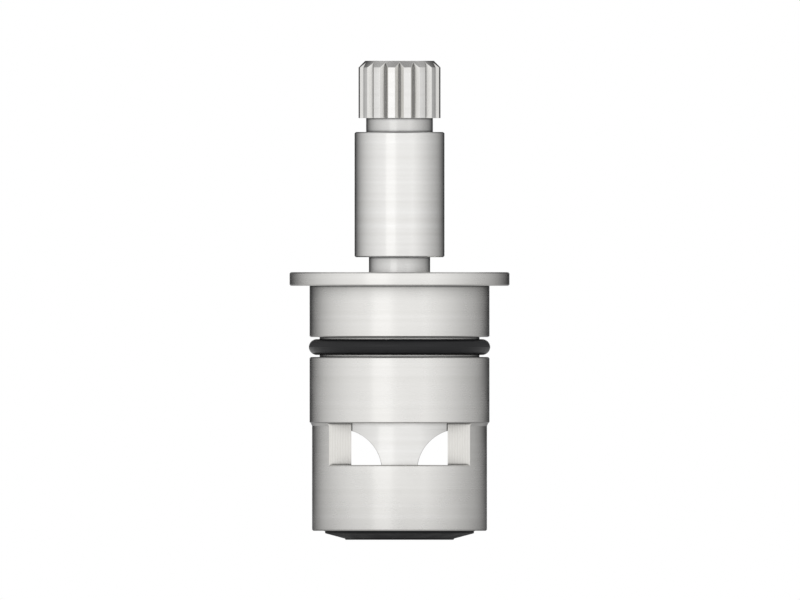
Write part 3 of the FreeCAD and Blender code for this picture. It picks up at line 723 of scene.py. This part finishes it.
corner = math.degrees(math.acos(SCOOP_MIDDLE / FOOT))
print("The blade's corner starts at", round(corner, 1), "degrees")

# %% [markdown]
# The rows of the foot go down from the collar's top. Each step spreads the columns from one
# section to the next on a face where the bend doesn't show: first on the flat top of the
# collar, then on the round wall between the lugs and the scoops.

# %% Rows of the foot
LUG_FOOT, BLADE_FACE = -12.5, -19.58


def foot_rows():
    """Rows from the collar's top to the face of the drive blade."""
    rows = []
    shaft_angle, _ = head_section(SPLINE_LAND)
    shaft = turned_points(STEM, 0, shaft_angle)
    outline = turned_points(lug_radius, 0, lug_angle)
    for share in (0.03, 0.97):
        x, y, _ = (shaft + (outline - shaft) * share).T
        rows.append((np.unwrap(np.arctan2(y, x)), np.hypot(x, y), COLLAR_TOP))
    for height in (COLLAR_TOP, COLLAR_TOP - GUARD, LUG_FOOT + GUARD, LUG_FOOT):
        rows.append((lug_angle, lug_radius, height))
    scoop_angle, _ = foot_section(SCOOP_MIDDLE)
    wall_top, wall_foot = LUG_FOOT - 0.01, SCOOP_HEIGHT + SCOOP_RADIUS
    for share in (0, 0.03, 0.2, 0.4, 0.6, 0.8, 0.97, 1):
        angle = lug_angle + (scoop_angle - lug_angle) * share
        rows.append((angle, np.full(COLUMNS, FOOT), wall_top + (wall_foot - wall_top) * share))
    for swing in np.radians(np.linspace(0, 90, 25)):
        half_width = SCOOP_MIDDLE - SCOOP_RADIUS * math.sin(swing)
        height = SCOOP_HEIGHT + SCOOP_RADIUS * math.cos(swing) - 0.002
        rows.append((*foot_section(half_width), height))
    angle, radius = foot_section(SCOOP_MIDDLE - SCOOP_RADIUS)
    rows.append((angle, radius, BLADE_FACE + 0.02))
    for share in (1, 0.98, 0.6, 0.2):
        rows.append((angle, radius * share, BLADE_FACE))
    return rows


print("The foot has", len(foot_rows()), "rows")

# %% [markdown]
# The handle's screw goes into a thread of 4 mm with a pitch of 0.7 mm. The radius of the wall
# depends on the phase, height / pitch + angle / a full turn: for a quarter of each pitch it is
# the crest, for an eighth the root, and between them it rises in a straight line, which makes
# flanks of about 60 degrees. The thread fades out near the bottom, where the tap ran out.

# %% The threaded hole
THREAD_CREST, THREAD_ROOT, THREAD_PITCH = 1.65, 1.98, 0.7
THREAD_STEPS = 14
THREAD_END, RUN_OUT = 7.5, 0.9
HOLE_COLUMNS = COLUMNS // 3
HOLE_FOOT = HEAD_TOP - 9.0
DRILL_POINT = HOLE_FOOT - 0.99


def hole_rows(angle):
    """Radius and height of the hole's wall, as arrays of rows by columns."""
    sink = np.linspace(0, 0.48, 9)
    thread = np.arange(0.52, THREAD_END + 0.1, THREAD_PITCH / THREAD_STEPS)
    plain = np.array([THREAD_END + 0.3, HEAD_TOP - HOLE_FOOT - 0.03, HEAD_TOP - HOLE_FOOT])
    depth = np.concatenate([sink, thread, plain])[:, None]
    height = HEAD_TOP - depth
    phase = (height / THREAD_PITCH + angle / (2 * np.pi)) % 1.0
    from_crest = np.minimum(phase, 1 - phase)
    rise = np.clip((from_crest - 1 / 8) / (5 / 16), 0, 1)
    fade = np.clip((THREAD_END - depth) / RUN_OUT, 0, 1)
    wall = THREAD_CREST + (THREAD_ROOT - THREAD_CREST) * rise * fade
    return np.maximum(wall, HOLE_RIM - depth), height


print("The thread is", round(THREAD_ROOT - THREAD_CREST, 2), "mm deep")

# %% [markdown]
# The outside and the hole are two grids with different columns. At the rim of the hole three
# columns of the outside meet one of the thread in a face of six corners. The outside is closed
# by a fan of triangles in the middle of the blade, and the hole by one in the drill's point.

# %% Join the spindle into one surface
def fan_faces(first, count, tip):
    """Triangles between the sides of a ring of points and one tip."""
    column = np.arange(count)
    return np.stack([first + column, first + (column + 1) % count, np.full(count, tip)], axis=1)


rows = head_rows()
stem_angle = rows[-1][0]
rows += [(stem_angle, np.full(COLUMNS, radius), height) for radius, height in stem_profile]
rows += foot_rows()
angle = np.array([row[0] for row in rows])
radius = np.array([row[1] for row in rows])
height = np.array([row[2] for row in rows])[:, None]
outside = turned_points(radius, height, angle)
hole_angle = angle[:1, ::3]
hole_radius, hole_height = hole_rows(hole_angle)
inside = turned_points(hole_radius, hole_height, hole_angle)

blade_middle = len(outside)
hole_start = blade_middle + 1
drill_tip = hole_start + len(inside)
hole_column = np.arange(HOLE_COLUMNS)
outer_column = 3 * hole_column
rim_corners = [outer_column, hole_start + hole_column]
rim_corners += [hole_start + (hole_column + 1) % HOLE_COLUMNS, (outer_column + 3) % COLUMNS]
rim_corners += [outer_column + 2, outer_column + 1]
faces = [
    *grid_faces(len(rows), COLUMNS),
    *grid_faces(len(hole_height), HOLE_COLUMNS, start=hole_start)[:, ::-1],
    *fan_faces(blade_middle - COLUMNS, COLUMNS, blade_middle),
    *fan_faces(drill_tip - HOLE_COLUMNS, HOLE_COLUMNS, drill_tip)[:, ::-1],
    *np.stack(rim_corners, axis=1),
]
points = np.vstack([outside, [[0, 0, BLADE_FACE]], inside, [[0, 0, DRILL_POINT]]])
print(len(rows), "rows outside and", len(hole_height), "in the hole")

# %% [markdown]
# The flanks of the grooves take the lengthwise finish and the scoops the milled one. The faces
# of the outside are laid out as rows by columns, so both are slices: the first and last five
# columns of each tooth lie in a groove, and the 24 columns on either side of the X axis, which
# is the middle of each half, lie on a scoop.

# %% Finishes of the spindle
CUT, MILLED = 1, 2
FIRST_GROOVE_ROW, UNDERSIDE_ROWS, ROWS_ABOVE_SCOOP = 6, 3, 13

walls = len(WALL_SHARE) - 1
flank_rows = slice(FIRST_GROOVE_ROW, len(head_rows()) - UNDERSIDE_ROWS)
scoop_rows = slice(len(rows) - len(foot_rows()) + ROWS_ABOVE_SCOOP, None)
chosen = np.zeros(len(faces), int)
outer = chosen[: (len(rows) - 1) * COLUMNS]
teeth = outer.reshape(-1, TEETH, TOOTH_COLUMNS)
teeth[flank_rows, :, :walls] = CUT
teeth[flank_rows, :, -walls:] = CUT
halves = outer.reshape(-1, 2, 2 * QUARTER)
halves[scoop_rows, :, QUARTER - CORNER_COLUMN : QUARTER + CORNER_COLUMN] = MILLED
add_piece(
    "splined_spindle", points, faces, "turning_spindle", "spindle",
    [spindle_nickel, cut_flank, milled_foot], chosen,
)

# %% [markdown]
# ## Rubber rings
#
# The ring on the barrel is the large black band of the side view. It is stretched in its
# groove: round outside, where the tap will squeeze it, and flat inside, where it lies on the
# metal. The two halves of its mould meet at the widest place and leave a seam two hundredths of
# a millimetre high. The section is a half circle joined to two small arcs, and the seam is a
# narrow bell curve added to the radius.

# %% Ring on the barrel
RING_MIDDLE, RING_BULGE, RING_OUTER, RING_INNER, RING_HEEL = -6.125, 0.79, 9.06, 8.02, 0.2
SEAM_SIZE, SEAM_WIDTH = 0.02, 0.035


def arc(centre, radius, degrees):
    """Points of a circle's arc: centre + radius (cos a, sin a)."""
    turn = np.radians(degrees)
    return np.array(centre) + radius * np.stack([np.cos(turn), np.sin(turn)], axis=1)


def mirrored_down(points, middle):
    """The same points below a given height, in reverse order."""
    return points[::-1] * [1, -1] + [0, 2 * middle]


degrees = [np.linspace(-90, -8, 14), np.linspace(-6, 6, 9), np.linspace(8, 90, 14)]
round_middle = (RING_OUTER - RING_BULGE, RING_MIDDLE)
round_side = arc(round_middle, RING_BULGE, np.concatenate(degrees))
from_seam = (round_side[:, 1] - RING_MIDDLE) / SEAM_WIDTH
round_side[:, 0] += SEAM_SIZE * np.exp(-(from_seam**2))
heel_middle = (RING_INNER + RING_HEEL, RING_MIDDLE + RING_BULGE - RING_HEEL)
heel = arc(heel_middle, RING_HEEL, np.linspace(90, 180, 6))
barrel_ring_profile = np.vstack([round_side, heel, mirrored_down(heel, RING_MIDDLE)])
add_ring(
    "barrel_ring", barrel_ring_profile, 288, "cartridge", "body_oring",
    greased_rubber,
)

# %% [markdown]
# The two rings on the shaft are squeezed between the groove and the bore, so their section is
# taller than it is wide: two half circles with a short flat between them.

# %% Rings on the shaft
def shaft_ring_profile(middle, inner=3.32, outer=4.53, tall=1.55):
    """Two half circles, one above the other, joined by straight sides."""
    bulge = (outer - inner) / 2
    upper_middle = (inner + bulge, middle + tall / 2 - bulge)
    upper = arc(upper_middle, bulge, np.linspace(0, 180, 14))
    return np.vstack([upper, mirrored_down(upper, middle)])


for name, node, middle in (
    ("stem_ring_upper", "spindle_oring_upper", -2.9),
    ("stem_ring_lower", "spindle_oring_lower", -6.3),
):
    add_ring(
        name, shaft_ring_profile(middle), 160, "turning_spindle", node,
        greased_rubber,
    )

# %% [markdown]
# ## The seal at the foot
#
# This collar of rubber stands proud of the cage and meets the seat in the tap. Two ears fit the
# keyways of the cage, so it can't turn. It is a rounded profile, turned, but on the columns
# within 13 degrees of the X axis the upper part of the wall moves out to a flat, 7.65 / cos a
# from the axis, which is the outline of an ear.

# %% Nose seal
EAR_REACH, EAR_HALF, EAR_FOOT = 7.65, 1.7, -24.5
SEAL_RADIUS, SEAL_BORE, SEAL_LAND = 7.45, 4.75, 5.4
SEAL_TOP, SEAL_FOOT = -23.18, -25.4
STEP_HALF = 0.06
SEAL_HALF_COLUMNS = 120

seal_corners = [
    (SEAL_BORE, SEAL_TOP),
    (SEAL_BORE, SEAL_FOOT),
    (SEAL_LAND, SEAL_FOOT),
    (SEAL_LAND + 0.06, SEAL_FOOT + 0.12),
    (SEAL_RADIUS, -24.75),
    (SEAL_RADIUS, EAR_FOOT - STEP_HALF),
    (SEAL_RADIUS - 0.0005, EAR_FOOT + STEP_HALF),
    (SEAL_RADIUS, SEAL_TOP),
]
seal_profile = rounded_profile(
    seal_corners, [0.06, 0.06, 0.05, 0.03, 0.1, 0.005, 0.005, 0.06], guard=0.012, closed=True
)
ear_corner = math.atan2(EAR_HALF, EAR_REACH)
ear_start = math.asin(EAR_HALF / SEAL_RADIUS)
knots = np.array([0, 9, 10, 14])
knot_angles = np.array([0, ear_corner, ear_start, 0.3])
half_turn = np.interp(
    np.arange(SEAL_HALF_COLUMNS),
    np.concatenate([knots, SEAL_HALF_COLUMNS - knots[::-1]]),
    np.concatenate([knot_angles, np.pi - knot_angles[::-1]]),
)
seal_angle = np.concatenate([half_turn, half_turn + np.pi])
off_ear = np.abs((seal_angle + np.pi / 2) % np.pi - np.pi / 2)
ear = np.where(off_ear <= ear_corner + 1e-6, EAR_REACH / np.cos(off_ear) - SEAL_RADIUS, 0.0)
on_wall = (seal_profile[:, 1] > EAR_FOOT) & (seal_profile[:, 0] > SEAL_RADIUS - 0.1)
seal_radius = seal_profile[:, :1] + ear[None, :] * on_wall[:, None]
add_piece(
    "nose_seal", turned_points(seal_radius, seal_profile[:, 1:], seal_angle[None, :]),
    grid_faces(len(seal_profile), len(seal_angle), rows_meet=True),
    "cartridge", "bottom_seal", [moulded_rubber],
)

# %% [markdown]
# ## Washers and the seal's sleeve
#
# Three plain rings: two slip washers of acetal, and a thin stainless sleeve that keeps the
# seal's bore open. Each is a rectangle with rounded corners, turned.

# %% Plain rings
def ring_profile(inner, outer, foot, top, corner):
    """Rounded rectangle between two radii and two heights."""
    corners = [(inner, foot), (outer, foot), (outer, top), (inner, top)]
    return rounded_profile(corners, corner, steps=3, closed=True)


add_ring(
    "clip_slip_washer", ring_profile(4.67, 6.35, 0.14, 0.54, 0.06), 160, "cartridge",
    "clip_washer", washer_acetal,
)
add_ring(
    "collar_slip_washer", ring_profile(4.62, 5.80, -10.2, -9.4, 0.08), 160, "cartridge",
    "thrust_washer", washer_acetal,
)
add_ring(
    "seal_sleeve", ring_profile(4.35, 4.73, -25.1, SEAL_TOP, 0.08), 192, "cartridge",
    "seal_support_ring", clip_steel,
)

# %% [markdown]
# ## The spring clip
#
# A flat C of spring steel, pushed on the neck from the side, holds the spindle in the body. The
# sides of its mouth are parallel, so the angle at which the C starts depends on the radius:
# sin a = y / r. Its section is a rounded rectangle, carried from one side of the mouth to the
# other, and the tips are rounded in plan by letting y grow near the outer edge. The first and
# last sections are a little smaller, which rounds the rims of the mouth. Points are added along
# the long sides of the section, closest near the tips, where the plan curves.

# %% Section of the clip
CLIP_INNER, CLIP_OUTER, CLIP_FOOT, CLIP_TOP = 3.125, 6.2, 0.54, 1.34
MOUTH_HALF, TIP_RADIUS, RIM = 2.8, 0.5, 0.07
CLIP_ROWS = 122

plain_section = ring_profile(CLIP_INNER, CLIP_OUTER, CLIP_FOOT, CLIP_TOP, RIM)
side_points = np.linspace(CLIP_INNER + 0.15, CLIP_OUTER - 0.15, 9)[1:-1]
tip_points = CLIP_OUTER - np.array([0.12, 0.20, 0.29, 0.40])
along_side = np.unique(np.round(np.concatenate([side_points, tip_points]), 3))
foot_side = np.stack([along_side, np.full(len(along_side), CLIP_FOOT)], axis=1)
top_side = np.stack([along_side[::-1], np.full(len(along_side), CLIP_TOP)], axis=1)
first, second, third, fourth = np.split(plain_section, 4)
clip_section = np.vstack([first, foot_side, second, third, top_side, fourth])
section_middle = plain_section.mean(axis=0)
section_size = np.ptp(plain_section, axis=0)
print("The clip's section has", len(clip_section), "points")

# %% [markdown]
# The sections are numbered by the share of the way round. Four at each end grow from the
# smaller one to the full one along a quarter circle, and the two ends are closed by one face.

# %% Spring clip
def clip_row(share, inset, setback):
    """One section of the clip, a share of the way round, drawn in by inset at its rims."""
    shrink = (section_size - 2 * inset) / section_size
    section = section_middle + (clip_section - section_middle) * shrink
    r = section[:, 0]
    into_tip = np.clip(r - (CLIP_OUTER - TIP_RADIUS), 0, TIP_RADIUS)
    y = MOUTH_HALF + setback + TIP_RADIUS - np.sqrt(TIP_RADIUS**2 - into_tip**2)
    start = np.arcsin(y / r)
    angle = start + (2 * np.pi - 2 * start) * share
    return turned_points(r, section[:, 1], angle)


def clip_end(share):
    """The sections that round the rims on one side of the mouth, the smallest first."""
    return [
        clip_row(share, RIM * (1 - math.sin(ease)), RIM * (1 - math.cos(ease)))
        for ease in np.radians([0, 30, 60, 90])
    ]


round_rows = [clip_row(share, 0, RIM) for share in np.linspace(0, 1, CLIP_ROWS)[1:-1]]
clip_rows = clip_end(0) + round_rows + clip_end(1)[::-1]
row_points = len(clip_section)
first_end = tuple(range(row_points))
last_end = tuple(row_points * (len(clip_rows) - 1) + point for point in first_end)
add_piece(
    "spring_clip", np.vstack(clip_rows),
    [*grid_faces(len(clip_rows), row_points), first_end[::-1], last_end],
    "turning_spindle", "retaining_clip", [clip_steel],
)

# %% [markdown]
# ## Floor and background
#
# The reference has a plain white ground. The floor is a pale disc that takes the object's
# shadow. It glows a little, so that it looks as white as paper and the shadow still shows, and
# it fades into the white of the world at its rim. It is seen only from above, so a camera
# below it looks at the underside of the cartridge through it.

# %% Floor
FLOOR_RADIUS = 1.5
FLOOR_COLUMNS = 96


def add_backdrop(name, points, faces, finish):
    """A surface of the studio, which isn't part of the object."""
    backdrop = add_mesh(name, points, faces, [finish])
    return backdrop


def set_surface(finish, node):
    """Show what a node makes as the surface of the material."""
    set_inputs(finish.node_tree.nodes["Material Output"], {"Surface": node})


floor_finish = new_finish("pale_floor", (0.92, 0.92, 0.92), 0.8)
pale = floor_finish.node_tree.nodes["Principled BSDF"]
glow = add_node(floor_finish, "Emission")
_, _, _, from_axis = split_place(floor_finish, object_place(floor_finish))
glow_share = map_range(floor_finish, from_axis, 0.10, 0.5, 0.35, 1.0)
fade = add_node(floor_finish, "MixShader", {0: glow_share, 1: pale, 2: glow})
clear = add_node(floor_finish, "BsdfTransparent")
from_below = add_node(floor_finish, "NewGeometry").outputs["Backfacing"]
set_surface(floor_finish, add_node(floor_finish, "MixShader", {0: from_below, 1: fade, 2: clear}))

floor_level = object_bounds()[0].z
rim_angle = np.linspace(0, 2 * np.pi, FLOOR_COLUMNS, endpoint=False)
floor_points = turned_points(FLOOR_RADIUS, floor_level, rim_angle)
add_backdrop("floor", floor_points, [tuple(range(FLOOR_COLUMNS))], floor_finish)
print("The floor lies at", round(floor_level / MM, 2), "mm")

# %% [markdown]
# ## Light
#
# Satin metal shows its shape through what it mirrors, so the studio is built for reflections.
# The world is plain white for the camera. Mirrored rays, and rays that pass through something,
# find it white at the horizon and darker towards its top, and as a source of soft light it is
# grey.

# %% World
world = bpy.data.worlds.new("white_studio")
world.use_nodes = True
scene.world = world
scene.view_settings.view_transform = "Standard"

soft = set_inputs(world.node_tree.nodes["Background"], {"Color": (0.65, 0.65, 0.65, 1)})
white = add_node(world, "Background", {"Color": (1, 1, 1, 1)})
direction = add_node(world, "TexCoord").outputs["Generated"]
upwards = add_node(world, "SeparateXYZ", {0: direction}).outputs["Z"]
tone = map_range(world, upwards, 0.15, 0.95, 1.0, 0.32, interpolation_type="SMOOTHSTEP")
sky = add_node(world, "Background", {"Color": tone})
rays = add_node(world, "LightPath").outputs
bent = do_math(world, "MAXIMUM", rays["Is Glossy Ray"], rays["Is Transmission Ray"])
unseen = add_node(world, "MixShader", {0: bent, 1: soft, 2: sky})
shown = add_node(world, "MixShader", {0: rays["Is Camera Ray"], 1: unseen, 2: white})
set_inputs(world.node_tree.nodes["World Output"], {"Surface": shown})

# %% [markdown]
# The lamps are large and weak, so their mirror images don't burn out, and the chamfer of the
# head isn't lost in the white ground where it mirrors one. The strength of such an image is the
# power over pi times the area, and the sky behind the lamp is added to it.

# %% Lamps
def add_lamp(name, place, size, power):
    """A rectangular soft lamp that faces the object."""
    data = bpy.data.lights.new(name, "AREA")
    data.shape = "RECTANGLE"
    data.size, data.size_y = size
    data.energy = power
    lamp = bpy.data.objects.new(name, data)
    lamp.location = place
    lamp.rotation_euler = (Vector() - lamp.location).to_track_quat("-Z", "Y").to_euler()
    scene.collection.objects.link(lamp)


add_lamp("key", (-0.50, -0.54, 0.60), (1.5, 1.5), 2.4)
add_lamp("fill", (0.55, -0.33, 0.50), (0.9, 0.9), 1.2)
add_lamp("back", (0.0, 0.52, 0.47), (0.5, 0.6), 0.75)

# %% [markdown]
# Two more surfaces are seen only in reflections. A tall curved screen stands round the sides
# and back of the object. Its tone falls from white at the front to nearly black behind, so a
# cylinder is light in the middle, shaded towards its sides and ends in a dark line, as the
# outline of a drawing does. Straight behind, the screen has a white slot. From the front it
# is too narrow to show, and from behind it is the highlight.
#
# A card lies round the foot, because a wall that is seen from above mirrors the floor, and
# would be as pale as it. Near the object the card is darker, a painted shadow of the object on
# the floor, which draws the small chamfer at the barrel's foot as a line. Screen and card are a
# little darker on the right, so the two sides of a round piece differ.

# %% Screen and card
SCREEN_RADIUS, SCREEN_HALF_HEIGHT, CARD_RADIUS = 0.30, 0.30, 0.0078
SCREEN_COLUMNS = 90


def graded_glow(name, stops):
    """Glow that depends on the direction from the object: 0 degrees is +Y, 90 is +X.

    Near the object it is weaker: a painted shadow, as a real floor is darker in the shade of what
    stands on it.
    """
    finish = bpy.data.materials.new(name)
    finish.use_nodes = True
    x, y, _, radius = split_place(finish, object_place(finish))
    swing = do_math(finish, "ARCTAN2", x, y)
    share = map_range(finish, swing, -math.pi, math.pi, 0.0, 1.0)
    ramp = add_node(finish, "ValToRGB", {"Fac": share})
    marks = ramp.color_ramp.elements
    for _ in stops[2:]:
        marks.new(1.0)
    for mark, (degrees, tone) in zip(marks, stops):
        mark.position = (degrees + 180) / 360
        mark.color = (tone, tone, tone, 1)
    # Painted shadow: the glow is weaker near the object, where the floor would lie in its shade.
    strength = map_range(finish, radius, 14 * MM, 45 * MM, 0.45, 1.0)
    set_surface(finish, add_node(finish, "Emission", {"Color": ramp, "Strength": strength}))
    return finish


def add_screen(name, circles, half_swing, stops):
    """An arc round the object, between two circles of radius and height, seen in reflections."""
    swing = np.radians(np.linspace(-half_swing, half_swing, SCREEN_COLUMNS))
    points = [turned_points(radius, height, np.pi / 2 - swing) for radius, height in circles]
    faces = grid_faces(2, SCREEN_COLUMNS)[:-1].tolist()
    screen = add_backdrop(name, np.vstack(points), faces, graded_glow(name, stops))
    screen.visible_camera = False
    screen.visible_diffuse = False
    screen.visible_shadow = False


card_level = floor_level + 0.2 * MM
screen_circles = [(SCREEN_RADIUS, -SCREEN_HALF_HEIGHT), (SCREEN_RADIUS, SCREEN_HALF_HEIGHT)]
card_circles = [(SCREEN_RADIUS, card_level), (CARD_RADIUS, card_level)]
screen_tones = [(-145, 1.0), (-120, 0.92), (-90, 0.72), (-62, 0.48), (-40, 0.26), (-22, 0.07)]
screen_tones += [(-12, 0.07), (-8, 0.95), (8, 0.95), (12, 0.07)]
screen_tones += [(22, 0.07), (40, 0.22), (62, 0.38), (90, 0.56), (120, 0.80), (145, 1.0)]
card_tones = [(-180, 0.95), (-90, 0.70), (-45, 0.66), (20, 0.56), (90, 0.56), (140, 0.80)]
card_tones += [(180, 0.95)]
add_screen("graded_screen", screen_circles, 145, screen_tones)
add_screen("graded_card", card_circles, 180, card_tones)
print("The screen has", len(screen_tones), "tones and the card", len(card_tones))
